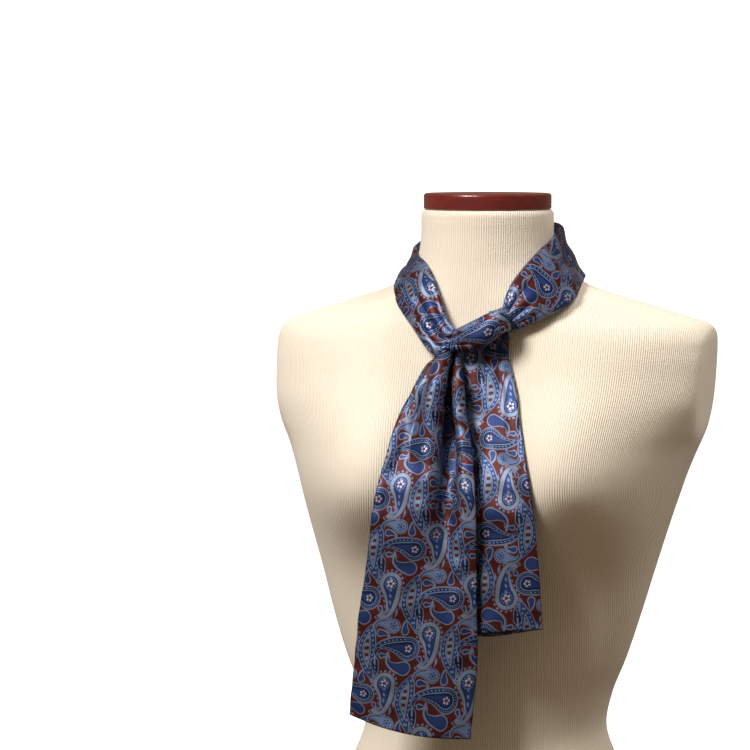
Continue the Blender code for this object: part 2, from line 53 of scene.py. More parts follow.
FORM_ROWS = (
    (0.0000, 0.1660, -0.012, -0.1150, 0.1120, 2.25),
    (0.0500, 0.1645, -0.012, -0.1165, 0.1115, 2.25),
    (0.0900, 0.1590, -0.014, -0.1150, 0.1060, 2.20),
    (0.1300, 0.1480, -0.017, -0.1120, 0.0930, 2.20),
    (0.1700, 0.1330, -0.021, -0.1065, 0.0780, 2.15),
    (0.2070, 0.1166, -0.023, -0.1015, 0.0670, 2.10),
    (0.2365, 0.1067, -0.022, -0.0990, 0.0640, 2.10),
    (0.2650, 0.1115, -0.022, -0.0990, 0.0670, 2.10),
    (0.2960, 0.1235, -0.022, -0.1000, 0.0730, 2.15),
    (0.3345, 0.1358, -0.019, -0.1020, 0.0810, 2.20),
    (0.3700, 0.1457, -0.012, -0.1055, 0.0880, 2.25),
    (0.4050, 0.1556, -0.004, -0.1085, 0.0935, 2.30),
    (0.4350, 0.1645, 0.004, -0.1100, 0.0975, 2.35),
    (0.4650, 0.1745, 0.012, -0.1095, 0.1005, 2.40),
    (0.4850, 0.1835, 0.018, -0.1075, 0.1015, 2.40),
    (0.5000, 0.1930, 0.024, -0.1055, 0.1010, 2.40),
    (0.5200, 0.2020, 0.029, -0.1025, 0.0990, 2.40),
    (0.5450, 0.2035, 0.031, -0.0980, 0.0950, 2.35),
    (0.5650, 0.2015, 0.031, -0.0942, 0.0900, 2.30),
    (0.5780, 0.1975, 0.029, -0.0915, 0.0850, 2.20),
    (0.5875, 0.1860, 0.026, -0.0895, 0.0800, 2.10),
    (0.5977, 0.1540, 0.021, -0.0872, 0.0740, 2.00),
    (0.6082, 0.1205, 0.013, -0.0850, 0.0670, 2.00),
    (0.6186, 0.0890, 0.004, -0.0830, 0.0600, 2.00),
    (0.6280, 0.0745, -0.005, -0.0812, 0.0540, 2.00),
    (0.6380, 0.0650, -0.012, -0.0795, 0.0480, 2.00),
    (0.6500, 0.0595, -0.017, -0.0780, 0.0430, 2.00),
    (0.6650, 0.0577, -0.018, -0.0765, 0.0405, 2.00),
    (0.6800, 0.0575, -0.018, -0.0757, 0.0395, 2.00),
    (0.6845, 0.0570, -0.018, -0.0750, 0.0390, 2.00),
    (0.6857, 0.0558, -0.018, -0.0738, 0.0378, 2.00),
)
BUST_X = 0.088
BUST_Z = 0.455
BUST_RISE = 0.047
BUST_SPREAD_X = 0.060
BUST_SPREAD_UP = 0.080
BUST_SPREAD_DOWN = 0.058
BUST_BLEND = 4.0
PLATE_X = 0.1925
PLATE_Z = 0.565
PLATE_LEAN = 0.10
PLATE_FOOT = 0.30
PLATE_BLEND = 0.003
PLATE_EDGE = 0.0025
NECK_CENTRE_Y = -0.018
BODY_CENTRE_Y = -0.012
FORM_RINGS = 230
FORM_SIDES = 184
BASE_ROUND = 0.003
BASE_REACH = 0.14
BASE_COLUMNS = ("height", "drawn_in")
BASE_RINGS = (
    (0.0000, 1.0),
    (0.0000, 0.5),
    (0.0000, BASE_ROUND / BASE_REACH),
    (0.0008, 0.006),
    (0.0020, 0.002),
)
BASE_TOP = 0.004
TOP_RINGS = (0.5, 1.0)
BODY_CREASE = 1.0
SAME_POINT = 1e-6
RIB_PITCH = 0.0021
RIB_WANDER = 0.0016
LOOP_PITCH = 0.0013
LOOP_SHARE = 0.08
WANDER_GRAIN = {"scale": 14}
MOTTLE_GRAIN = {"scale": 9, "detail": 4.0}
YARN_GRAIN = {"scale": 700, "detail": 1.0}
# Painted shade: the knit's height darkens the colour in the grooves between ribs and loops and lightens
# their crests.
KNIT_GROOVE_SHADE = (-0.12, 0.15)
MOTTLE_TONE = (0.30, -0.15)
YARN_TONE = (0.16, -0.06)
KNIT_RELIEF = {"distance": 0.00030, "strength": 0.65}
YARN_RELIEF = {"distance": 0.0004, "strength": 0.30}
JERSEY_LIGHT = (0.860, 0.765, 0.620)
JERSEY_DARK = (0.560, 0.455, 0.330)
JERSEY_SHADER = {"Roughness": 0.92, "Sheen Weight": 0.18, "Sheen Roughness": 0.5, "Specular IOR Level": 0.2}


def packed_shift():
    """Distance along Y from the form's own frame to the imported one, read off the wood cap."""
    low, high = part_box("neck_cap")
    return (low[1] + high[1]) / 2 - NECK_CENTRE_Y


SHIFT_Y = packed_shift()


def smooth_rows(rows, at):
    """Values between a table's rows: cubic pieces through them, their slopes taken from the neighbours."""
    table = np.array(rows, float)
    place, values = table[:, 0], table[:, 1:]
    slopes = np.gradient(values, place, axis=0)
    at = np.asarray(at, float)
    low = np.clip(np.searchsorted(place, at) - 1, 0, len(place) - 2)
    step = (place[low + 1] - place[low])[:, None]
    t = ((at - place[low]) / step[:, 0])[:, None]
    return ((2 * t**3 - 3 * t**2 + 1) * values[low] + (t**3 - 2 * t**2 + t) * step * slopes[low]
            + (3 * t**2 - 2 * t**3) * values[low + 1] + (t**3 - t**2) * step * slopes[low + 1])


def read_table(columns, rows, at):
    """A table's values at the given places, by the name of their column."""
    return dict(zip(columns[1:], smooth_rows(rows, at).T))


def bust_rise(x, z):
    """How far the bust stands out: a bell curve either side of the middle, shorter below than above."""
    upright = np.exp(-((z - BUST_Z) / np.where(z > BUST_Z, BUST_SPREAD_UP, BUST_SPREAD_DOWN))**2)
    sideways = (np.exp(-((x - BUST_X) / BUST_SPREAD_X)**2)
                + np.exp(-((x + BUST_X) / BUST_SPREAD_X)**2))
    return BUST_RISE * upright * sideways


def form_front(x, z):
    """Depth of the form's chest at x and z: the front half of each height's oval, less the bust."""
    section = read_table(FORM_COLUMNS, FORM_ROWS, z)
    share = np.clip(np.abs(x) / section["half_width"], 0, 1)
    bulge = (1 - share**section["fullness"])**(1 / section["fullness"])
    reach = section["centre_y"] - section["front_y"]
    return section["centre_y"] - reach * bulge - bust_rise(x, z)


def form_skin(turn, z):
    """Skin of the torso at an angle round it and a height: an oval whose powers give its fullness, plus the
    bust, with both sides pressed flat where they would pass the leaning armhole plates.

    Also gives how far each point lies on a plate, from 0 to 1."""
    section = read_table(FORM_COLUMNS, FORM_ROWS, z.ravel())
    half_width, centre, front, back, fullness = (section[name].reshape(z.shape)
                                                 for name in FORM_COLUMNS[1:])
    cosine, sine = np.cos(turn), np.sin(turn)
    power = 2 / fullness
    x = half_width * np.sign(cosine) * np.abs(cosine)**power
    reach = np.where(sine > 0, centre - front, back - centre)
    y = centre - reach * np.sign(sine) * np.abs(sine)**power
    y = y - np.where(sine > 0, bust_rise(x, z) * np.clip(sine * BUST_BLEND, 0, 1), 0)
    plate = np.where(z > PLATE_FOOT, PLATE_X - PLATE_LEAN * (PLATE_Z - z), PLATE_X)
    kept = -PLATE_EDGE * np.logaddexp(-np.abs(x) / PLATE_EDGE, -plate / PLATE_EDGE)
    on_plate = np.clip((np.abs(x) - plate) / PLATE_BLEND + 0.5, 0, 1) * (z > PLATE_FOOT)
    return np.stack([np.sign(x) * np.maximum(kept, 0), y, z], axis=-1), on_plate


def grid_mesh(name, points, uv, closed=False, marks=None):
    """Mesh of a grid of points, shape (rows, columns, 3), each four neighbours joined by a face, and the
    last column joined to the first. The UV grid has one column more.

    A closed one has its end rows gathered to a point, merged, and its faces turned outwards. Marks are
    values for the points, kept as attributes by name."""
    rows, columns = points.shape[:2]
    row, column = (part.ravel() for part in np.meshgrid(np.arange(rows - 1), np.arange(columns),
                                                        indexing="ij"))
    corners = [(row, column), (row, column + 1), (row + 1, column + 1), (row + 1, column)]
    faces = np.stack([r * columns + c % columns for r, c in corners], axis=1)
    mesh = bpy.data.meshes.new(name)
    mesh.from_pydata(points.reshape(-1, 3).tolist(), [], faces.tolist())
    layer = mesh.uv_layers.new(name="cloth")
    layer.data.foreach_set("uv", np.stack([uv[r, c] for r, c in corners], axis=1).ravel())
    for mark, values in (marks or {}).items():
        mesh.attributes.new(mark, "FLOAT", "POINT").data.foreach_set("value", values.ravel())
    if closed:
        work = bmesh.new()
        work.from_mesh(mesh)
        bmesh.ops.remove_doubles(work, verts=work.verts, dist=SAME_POINT)
        bmesh.ops.recalc_face_normals(work, faces=work.faces)
        work.to_mesh(mesh)
        work.free()
    mesh.shade_smooth()
    piece = bpy.data.objects.new(name, mesh)
    bpy.context.collection.objects.link(piece)
    return piece


def run_along(points, axis):
    """Distance walked through a grid of points along one axis, starting at 0."""
    steps = np.linalg.norm(np.diff(points, axis=axis), axis=2)
    start = np.zeros_like(np.take(steps, [0], axis=axis))
    return np.concatenate([start, np.cumsum(steps, axis=axis)], axis=axis)


def new_material(name, settings):
    """New material with its node tree and its surface shader, whose inputs are given the settings."""
    material = bpy.data.materials.new(name)
    material.use_nodes = True
    shader = material.node_tree.nodes["Principled BSDF"]
    for socket, value in settings.items():
        shader.inputs[socket].default_value = value
    return material, material.node_tree, shader


def feed(tree, socket, value):
    """Give a socket a value, or a link when the value is another node's output."""
    if isinstance(value, bpy.types.NodeSocket):
        tree.links.new(value, socket)
    else:
        socket.default_value = value


def calc(tree, operation, *values):
    """One step of arithmetic on numbers or outputs."""
    node = tree.nodes.new("ShaderNodeMath")
    node.operation = operation
    for socket, value in zip(node.inputs, values):
        feed(tree, socket, value)
    return node.outputs[0]


def blend_colours(tree, share, first, second):
    """Colour that goes from the first to the second as the share goes from 0 to 1. The node's inputs 6 and 7
    and its output 2 are those that carry colours."""
    node = tree.nodes.new("ShaderNodeMix")
    node.data_type = "RGBA"
    feed(tree, node.inputs[0], share)
    for socket, colour in zip((node.inputs[6], node.inputs[7]), (first, second)):
        feed(tree, socket, colour if isinstance(colour, bpy.types.NodeSocket) else (*colour, 1))
    return node.outputs[2]


def noise(tree, vector, scale, detail=2.0):
    """Smooth noise about 0.5 at a scale in repeats per metre."""
    node = tree.nodes.new("ShaderNodeTexNoise")
    node.inputs["Scale"].default_value = scale
    node.inputs["Detail"].default_value = detail
    tree.links.new(vector, node.inputs["Vector"])
    return node.outputs["Fac"]


def bump(tree, height, distance, strength, under=None):
    """Normals of a relief of the given height, on top of another relief if there is one."""
    node = tree.nodes.new("ShaderNodeBump")
    node.inputs["Strength"].default_value = strength
    node.inputs["Distance"].default_value = distance
    tree.links.new(height, node.inputs["Height"])
    if under:
        tree.links.new(under, node.inputs["Normal"])
    return node.outputs["Normal"]


def cloth_coordinates(tree):
    """The UV map's two distances over the cloth, in metres."""
    node = tree.nodes.new("ShaderNodeUVMap")
    node.uv_map = "cloth"
    split = tree.nodes.new("ShaderNodeSeparateXYZ")
    tree.links.new(node.outputs[0], split.inputs[0])
    return split.outputs[0], split.outputs[1]


def jersey_material():
    """Cream jersey: upright ribs with rows of fine loops on them, fading out on the armhole plates, the
    grooves between them painted darker as painted shade, and a slow mottling of the yarn's colour."""
    material, tree, shader = new_material("jersey_rib", JERSEY_SHADER)
    u, v = cloth_coordinates(tree)
    coordinates = tree.nodes.new("ShaderNodeTexCoord").outputs["Object"]
    plate = tree.nodes.new("ShaderNodeAttribute")
    plate.attribute_name = "plate"
    ribbed = calc(tree, "SUBTRACT", 1.0, plate.outputs["Fac"])
    wander = calc(tree, "MULTIPLY", noise(tree, coordinates, **WANDER_GRAIN), RIB_WANDER)
    phase = calc(tree, "MULTIPLY", calc(tree, "ADD", u, wander), 2 * np.pi / RIB_PITCH)
    rib = calc(tree, "MULTIPLY", calc(tree, "COSINE", phase), ribbed)
    loops = calc(tree, "SINE", calc(tree, "MULTIPLY", v, 2 * np.pi / LOOP_PITCH))
    knit = calc(tree, "MULTIPLY_ADD", loops, LOOP_SHARE, rib)
    mottle = noise(tree, coordinates, **MOTTLE_GRAIN)
    yarn = noise(tree, coordinates, **YARN_GRAIN)
    # Painted shade: the grooves of the ribs and loops are coloured darker than their crests.
    share = calc(tree, "MULTIPLY_ADD", knit, *KNIT_GROOVE_SHADE)
    for grain, tone in ((mottle, MOTTLE_TONE), (yarn, YARN_TONE)):
        share = calc(tree, "ADD", share, calc(tree, "MULTIPLY_ADD", grain, *tone))
    share = calc(tree, "MAXIMUM", share, 0.0)
    feed(tree, shader.inputs["Base Color"], blend_colours(tree, share, JERSEY_LIGHT, JERSEY_DARK))
    relief = bump(tree, yarn, **YARN_RELIEF)
    feed(tree, shader.inputs["Normal"], bump(tree, knit, **KNIT_RELIEF, under=relief))
    return material


def torso():
    """The torso's skin from a flat rounded base up to the neck, closed at both ends."""
    base = dict(zip(BASE_COLUMNS, np.array(BASE_RINGS).T))
    heights = np.concatenate([base["height"], np.linspace(BASE_TOP, FORM_ROWS[-1][0], FORM_RINGS)])
    drawn_in = np.concatenate([base["drawn_in"], np.zeros(FORM_RINGS)])
    turn = np.linspace(-np.pi / 2, 1.5 * np.pi, FORM_SIDES, endpoint=False)
    skin, plate = form_skin(*np.meshgrid(turn, heights))
    middle = np.array([0, BODY_CENTRE_Y, 0])
    skin = skin + (middle - skin) * drawn_in[:, None, None] * np.array([1, 1, 0])
    top = np.stack([skin[-1] * (1 - share) + skin[-1].mean(axis=0) * share for share in TOP_RINGS])
    skin = np.concatenate([skin, top])
    plate = np.concatenate([plate, np.zeros((len(TOP_RINGS), FORM_SIDES))])
    around = run_along(np.concatenate([skin, skin[:, :1]], axis=1), axis=1)
    around = around - around[:, [FORM_SIDES // 2]]
    up = np.broadcast_to(run_along(skin, axis=0)[:, [0]], around.shape)
    skin[:, :, 1] += SHIFT_Y
    piece = grid_mesh("torso", skin, np.stack([around, up], axis=-1), closed=True, marks={"plate": plate})
    piece.data.set_sharp_from_angle(angle=BODY_CREASE)
    return piece


body = torso()
body.data.materials.append(jersey_material())
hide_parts("form_body")
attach(body, "root")


# Neck cap: a disc of mahogany turned on a lathe, stained dark red and polished, its top edge rounded over
# and its lower edge only broken. It sits on the covered neck.
CAP_RADIUS = 0.0555
CAP_BOTTOM = 0.686
CAP_TOP = 0.700
CAP_SIDES = 160
CAP_UPPER_ROUND = 0.0024
CAP_LOWER_ROUND = 0.0018
CAP_ROUND_STEPS = 8
CAP_INNER_RING = 0.6
CAP_CREASE = 1.2
WOOD_DARK = (0.045, 0.006, 0.005)
WOOD_RED = (0.215, 0.020, 0.015)
WOOD_DRAWN = (0.12, 1.0, 1.0)
STREAK_GRAIN = {"scale": 260, "detail": 4.0}
PORE_GRAIN = {"scale": 1500, "detail": 2.0}
BROAD_GRAIN = {"scale": 60, "detail": 2.0}
STREAK_TONE = 0.7
BROAD_TONE = 0.5
PORE_TONE = 0.15
PORE_RELIEF = {"distance": 0.0002, "strength": 0.15}
WOOD_SHADER = {"Roughness": 0.30, "Coat Weight": 0.55, "Coat Roughness": 0.20}


def turned_disc():
    """Profile of (radius, height) carried round the neck's axis: flat, lower round, side, upper round,
    flat."""
    quarter = np.linspace(0, np.pi / 2, CAP_ROUND_STEPS)
    low_radius, top_radius = CAP_RADIUS - CAP_LOWER_ROUND, CAP_RADIUS - CAP_UPPER_ROUND
    radius = np.concatenate([[0, low_radius * CAP_INNER_RING],
                             low_radius + CAP_LOWER_ROUND * np.sin(quarter),
                             top_radius + CAP_UPPER_ROUND * np.cos(quarter),
                             [top_radius * CAP_INNER_RING, 0]])
    height = np.concatenate([[CAP_BOTTOM] * 2, CAP_BOTTOM + CAP_LOWER_ROUND * (1 - np.cos(quarter)),
                             CAP_TOP - CAP_UPPER_ROUND * (1 - np.sin(quarter)), [CAP_TOP] * 2])
    turn = np.linspace(0, 2 * np.pi, CAP_SIDES + 1)
    points = np.stack([radius[:, None] * np.cos(turn),
                       NECK_CENTRE_Y + SHIFT_Y + radius[:, None] * np.sin(turn),
                       np.broadcast_to(height[:, None], (len(height), len(turn)))], axis=-1)
    uv = np.stack(np.broadcast_arrays(turn * CAP_RADIUS, height[:, None]), axis=-1)
    return grid_mesh("wood_cap", points[:, :-1], uv, closed=True)


def wood_material():
    """Stained mahogany under polish: long streaks drawn out along X, with fine dark pores."""
    material, tree, shader = new_material("mahogany", WOOD_SHADER)
    place = tree.nodes.new("ShaderNodeTexCoord").outputs["Object"]
    drawn = tree.nodes.new("ShaderNodeMapping")
    drawn.inputs["Scale"].default_value = WOOD_DRAWN
    tree.links.new(place, drawn.inputs["Vector"])
    streaks, pores, broad = (noise(tree, drawn.outputs[0], **grain)
                             for grain in (STREAK_GRAIN, PORE_GRAIN, BROAD_GRAIN))
    share = calc(tree, "MULTIPLY_ADD", streaks, STREAK_TONE, calc(tree, "MULTIPLY", broad, BROAD_TONE))
    share = calc(tree, "SUBTRACT", share, calc(tree, "MULTIPLY", pores, PORE_TONE))
    feed(tree, shader.inputs["Base Color"], blend_colours(tree, share, WOOD_DARK, WOOD_RED))
    feed(tree, shader.inputs["Normal"], bump(tree, pores, **PORE_RELIEF))
    return material


cap = turned_disc()
cap.data.set_sharp_from_angle(angle=CAP_CREASE)
cap.data.materials.append(wood_material())
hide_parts("neck_cap")
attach(cap, "root")


# Scarf, the stretch round the neck: the silk tube folded to half its width, laid round behind the neck and
# brought forward over both shoulders. Both ends are gathered where the knot grips them.
BAND_COLUMNS = ("along", "ax", "ay", "az", "bx", "by", "bz", "rise", "thickness")
FOLD_COLUMNS = ("start", "end", "across_start", "across_end", "half_width", "depth", "pinch", "lean")
COLLAR_ROWS = (
    (0.00, -0.0068, -0.1080, 0.5865, -0.0115, -0.1110, 0.5682, 0.0015, 0.0065),
    (0.50, -0.0112, -0.1050, 0.5908, -0.0259, -0.1090, 0.5643, 0.0025, 0.0065),
    (1.00, -0.0181, -0.0985, 0.6003, -0.0403, -0.1010, 0.5786, 0.0035, 0.0065),
    (1.60, -0.0258, -0.0895, 0.6157, -0.0527, -0.0905, 0.5915, 0.0035, 0.0060),
    (2.20, -0.0331, -0.0805, 0.6292, -0.0649, -0.0780, 0.6044, 0.0025, 0.0055),
    (2.80, -0.0417, -0.0690, 0.6401, -0.0738, -0.0570, 0.6160, 0.0005, 0.0050),
    (3.50, -0.0545, -0.0505, 0.6480, -0.0785, -0.0300, 0.6250, -0.0015, 0.0050),
    (4.30, -0.0625, -0.0250, 0.6540, -0.0768, 0.0000, 0.6305, -0.0020, 0.0050),
    (5.20, -0.0605, 0.0080, 0.6600, -0.0715, 0.0290, 0.6300, -0.0010, 0.0050),
    (6.10, -0.0455, 0.0335, 0.6685, -0.0540, 0.0500, 0.6275, 0.0005, 0.0050),
    (7.00, -0.0200, 0.0445, 0.6745, -0.0240, 0.0610, 0.6250, 0.0015, 0.0050),
    (7.60, 0.0000, 0.0460, 0.6750, 0.0000, 0.0630, 0.6245, 0.0020, 0.0050),
    (8.20, 0.0220, 0.0440, 0.6750, 0.0260, 0.0615, 0.6250, 0.0015, 0.0050),
    (9.10, 0.0460, 0.0335, 0.6740, 0.0560, 0.0500, 0.6265, 0.0005, 0.0050),
    (10.00, 0.0595, 0.0100, 0.6715, 0.0770, 0.0270, 0.6275, -0.0035, 0.0050),
    (10.80, 0.0610, -0.0150, 0.6680, 0.0830, -0.0050, 0.6252, -0.0060, 0.0050),
    (11.60, 0.0590, -0.0390, 0.6602, 0.0862, -0.0350, 0.6208, -0.0030, 0.0050),
    (12.30, 0.0520, -0.0600, 0.6504, 0.0871, -0.0630, 0.6117, 0.0010, 0.0055),
    (13.00, 0.0426, -0.0760, 0.6365, 0.0773, -0.0800, 0.6032, 0.0030, 0.0065),
    (13.60, 0.0358, -0.0870, 0.6245, 0.0653, -0.0890, 0.5962, 0.0040, 0.0075),
    (14.20, 0.0324, -0.0940, 0.6135, 0.0510, -0.0945, 0.5896, 0.0035, 0.0085),
    (14.80, 0.0305, -0.0975, 0.6050, 0.0391, -0.0975, 0.5846, 0.0020, 0.0090),
    (15.30, 0.0194, -0.0980, 0.6015, 0.0367, -0.0985, 0.5816, 0.0010, 0.0090),
)
COLLAR_FOLDS = (
    (15.8, 12.2, 0.35, 0.30, 0.09, 0.0030, 0.0010, 0.0000),
    (15.8, 12.6, 0.60, 0.63, 0.08, 0.0028, 0.0010, 0.0000),
    (15.7, 13.0, 0.80, 0.86, 0.06, 0.0022, 0.0006, 0.0000),
    (15.8, 13.4, 0.19, 0.13, 0.05, 0.0016, 0.0006, 0.0000),
    (10.4, 13.4, 0.52, 0.60, 0.16, 0.0010, 0.0000, 0.0000),
    (-0.4, 3.0, 0.38, 0.56, 0.09, 0.0024, 0.0010, 0.0000),
    (-0.4, 2.2, 0.64, 0.80, 0.06, 0.0016, 0.0006, 0.0000),
    (-0.4, 3.8, 0.16, 0.20, 0.06, 0.0014, 0.0004, 0.0000),
    (5.0, 9.8, 0.45, 0.40, 0.12, 0.0012, 0.0000, 0.0000),
    (2.6, 6.2, 0.70, 0.60, 0.10, 0.0010, 0.0000, 0.0000),
)
COLLAR = {"span": (0.0, 15.3), "counts": (300, 40), "seed": 3, "print_at": (-0.017, -0.066)}
WALL = 0.0004
CLOTH_EDGE = 4.0
FOLD_FADE = 1.5
FOLD_EARLY = 0.6
CHEST_Y = -0.070
RESTING_GAP = 0.0010
RESTING_SLOPE = 1.40
RESTING_SOFT = 0.0006
NEAR = 0.02
RIPPLE_WAVES = 14
RIPPLE_LENGTH = 0.030
RIPPLE_STRETCH = (0.6, 1.8)
FINE_STEPS = 1200
END_POWER = 6
PINCH_MOST = 1.85
HEM_GAP = 0.0008
HEM_NARROWER = 0.985


def band_edges(rows, along):
    """The band's two edges as points, at the given places along it."""
    section = read_table(BAND_COLUMNS, rows, along)
    return [np.stack([section[edge + axis] for axis in "xyz"], axis=-1) for edge in "ab"]


def folds_depth(folds, along, across, kind):
    """Depth of all the folds at each place: troughs with a bell-shaped section, which run on a slant from
    their start, where they soon grow deep, to their end along the band, where they die away slowly. A
    pinch sinks the front wall alone, and a lean moves the cloth sideways over the next fold."""
    total = np.zeros((len(along), len(across)))
    for fold in [dict(zip(FOLD_COLUMNS, row)) for row in folds]:
        part = np.clip((along - fold["start"]) / (fold["end"] - fold["start"]), 0, 1)
        fade = np.sin(np.pi * part**FOLD_EARLY)**FOLD_FADE
        centre = fold["across_start"] + (fold["across_end"] - fold["across_start"]) * part
        away = (across - centre[:, None]) / fold["half_width"]
        total += fold[kind] * fade[:, None] * np.exp(-away**2)
    return total


def band_lifted(rows, along, across, folds):
    """Middle surface of a band: straight between its edges, raised in the middle, less its folds.

    On the chest the cloth is kept in front of the form by a soft limit."""
    section = read_table(BAND_COLUMNS, rows, along)
    edge_a, edge_b = band_edges(rows, along)
    onward = sum(band_edges(rows, along + NEAR)) - sum(band_edges(rows, along - NEAR))
    outward = np.cross(onward, edge_b - edge_a)
    outward /= np.linalg.norm(outward, axis=1, keepdims=True)
    lift = section["rise"][:, None] * 4 * across * (1 - across) - folds_depth(folds, along, across, "depth")
    points = edge_a[:, None] + (edge_b - edge_a)[:, None] * across[None, :, None]
    sideways = (edge_b - edge_a) / np.linalg.norm(edge_b - edge_a, axis=1, keepdims=True)
    lean = folds_depth(folds, along, across, "lean")
    points += outward[:, None] * lift[:, :, None] + sideways[:, None] * lean[:, :, None]
    chest = points[:, :, 1] < CHEST_Y
    resting = form_front(points[:, :, 0].ravel(), points[:, :, 2].ravel()).reshape(chest.shape)
    resting = resting - (section["thickness"][:, None] / 2 + RESTING_GAP) * RESTING_SLOPE
    kept = -RESTING_SOFT * np.logaddexp(-points[:, :, 1] / RESTING_SOFT, -resting / RESTING_SOFT)
    points[:, :, 1] = np.where(chest, kept, points[:, :, 1])
    return points


def ripples(first, second, seed, amount, wavelength):
    """Soft unevenness over two distances: a sum of sine waves of random heading, length and phase."""
    random = np.random.default_rng(seed)
    total = np.zeros(first.shape)
    low, high = zip((0, np.pi), RIPPLE_STRETCH, (0, 2 * np.pi))
    for heading, stretch, phase in random.uniform(low, high, (RIPPLE_WAVES, 3)):
        distance = first * np.cos(heading) + second * np.sin(heading)
        total += np.sin(2 * np.pi * distance / (wavelength * stretch) + phase)
    return total * amount / np.sqrt(RIPPLE_WAVES / 2)


def silk_tube(name, rows, folds, span, counts, seed, ripple=0.0004, sag=0.0, back_drop=0.0,
              hem=0.0, edge_fullness=CLOTH_EDGE, print_turn=0.0, print_at=(0, 0)):
    """Tube of cloth round a band's middle surface: out along its front and home along its back, its side
    edges rounded. Ripples move both walls alike, a pinch only the front one. Towards its end the tube sags
    between its side edges, and its back drops lower still. At an open end the last stretch is turned in as
    a hem: the wall goes on inside, back up by the hem's depth.

    The UV map runs over the cloth in metres, across from the front's centre line and back along from the
    start, turned and moved to where the print's first motif lies."""
    lengths, widths = counts
    across = (1 - np.cos(np.linspace(0, np.pi, widths)) + 2 * np.linspace(0, 1, widths)) / 4
    fine = np.linspace(*span, FINE_STEPS)
    run = run_along(sum(band_edges(rows, fine))[:, None] / 2, axis=0)[:, 0]
    along = np.interp(np.linspace(0, run[-1], lengths), run, fine)
    points = band_lifted(rows, along, across, folds)
    onward = (band_lifted(rows, along + NEAR, across, folds)
              - band_lifted(rows, along - NEAR, across, folds))
    square = np.cross(onward, np.gradient(points, axis=1))
    outward = square / np.linalg.norm(square, axis=2, keepdims=True)
    half = read_table(BAND_COLUMNS, rows, along)["thickness"][:, None] / 2 - WALL / 2
    width_run = run_along(points, axis=1)
    distance = np.linspace(0, run[-1], lengths)[:, None]
    wave = ripples(width_run - width_run[:, [widths // 2]], distance + 0 * width_run, seed, ripple,
                   RIPPLE_LENGTH)
    points = points + outward * wave[:, :, None]
    middle_share = np.sin(np.pi * across)
    end_share = np.linspace(0, 1, lengths)[:, None]**END_POWER
    points[:, :, 2] -= sag * end_share * middle_share
    half = half * np.sqrt(np.clip(1 - np.abs(2 * across - 1)**edge_fullness, 0, 1))
    sunk = np.minimum(folds_depth(folds, along, across, "pinch"), half * PINCH_MOST)
    front = points + outward * (half - sunk)[:, :, None]
    back = points - outward * half[:, :, None]
    back[:, :, 2] -= back_drop * end_share * middle_share
    loop = np.concatenate([front, back[:, -2:0:-1]], axis=1)
    if hem:
        turned = int(hem / (run[-1] / lengths))
        inner = np.concatenate([front[-turned:] - outward[-turned:] * HEM_GAP,
                                (back[-turned:] + outward[-turned:] * HEM_GAP)[:, -2:0:-1]], axis=1)
        centre = inner.mean(axis=1, keepdims=True)
        inner = centre + (inner - centre) * np.array([HEM_NARROWER, 1, 1])
        loop = np.concatenate([loop, inner[::-1]])
        distance = np.concatenate([distance, 2 * distance[-1] - distance[-turned:][::-1]])
    around = run_along(np.concatenate([loop, loop[:, :1]], axis=1), axis=1)
    around = around - around[:, [widths // 2]]
    back_along = 0 * around - distance
    cosine, sine = np.cos(print_turn), np.sin(print_turn)
    uv = np.stack([around * cosine - back_along * sine, around * sine + back_along * cosine], axis=-1)
    loop[:, :, 1] += SHIFT_Y
    piece = grid_mesh(name, loop, uv - np.array(print_at))
    middle_face = piece.data.polygons[(lengths // 2) * loop.shape[1] + widths // 2]
    if middle_face.normal.dot(outward[lengths // 2, widths // 2].tolist()) < 0:
        piece.data.flip_normals()
    wall = piece.modifiers.new("wall", "SOLIDIFY")
    wall.thickness = WALL
    wall.offset = -1.0
    wall.use_rim = True
    return piece


# The print, in centimetres over the cloth: a half-drop repeat, which shows each motif twice, once in each
# of two columns, the second a half repeat lower. Motifs further down their table lie over earlier ones.
CENTIMETRES = 100.0
REPEAT_WIDTH = 7.3
REPEAT_DROP = 8.3
RUST = (0.068, 0.010, 0.008)
NAVY = (0.006, 0.009, 0.032)
BLUE = (0.016, 0.035, 0.130)
PALE_BLUE = (0.125, 0.178, 0.310)
MIST = (0.158, 0.203, 0.295)
CREAM_PINK = (0.400, 0.345, 0.400)
PEACH = (0.180, 0.120, 0.125)
# A paisley's own sizes: its spine's bend, how far the fat end lies from the spiral's centre, the radius of
# the fat end, half the width of the hook, the turn where the hook ends, and how the tail narrows between.
COMMA = {"bend": 0.80, "reach": 2.35, "fat": 0.88, "hook": 0.09, "end": 4.2, "taper": 0.95, "waist": 0.20,
         "waist_power": 5.0, "past": 3.0, "joined": 0.40, "run": 2.2}
COMMA_MIDDLE = (0.66, 1.32)
FLOWER = {"petals": 5, "out": 0.68, "petal": 0.31, "eye": 0.31}
FLOWER_IN_BORDERED = 0.34
FLOWER_IN_DOTTED = 0.29
BORDER_NARROWING = (0.55, 0.45)
BAND_NARROWING = (0.45, 0.55)
BORDERED_HEART = 0.45
STAR_MIDDLE = 0.17
NARROW_SQUEEZE = 1.45
NARROW_HEART = 0.14
LEAF = {"half_length": 2.45, "half_width": 0.80, "widest_up": 0.6, "bent": 0.10, "curl_x": 0.66,
        "curl_y": -2.22, "curl": 0.26, "joined": 0.15}
BAND_COVERS = {"outside": 0.3, "inside": 1.3}
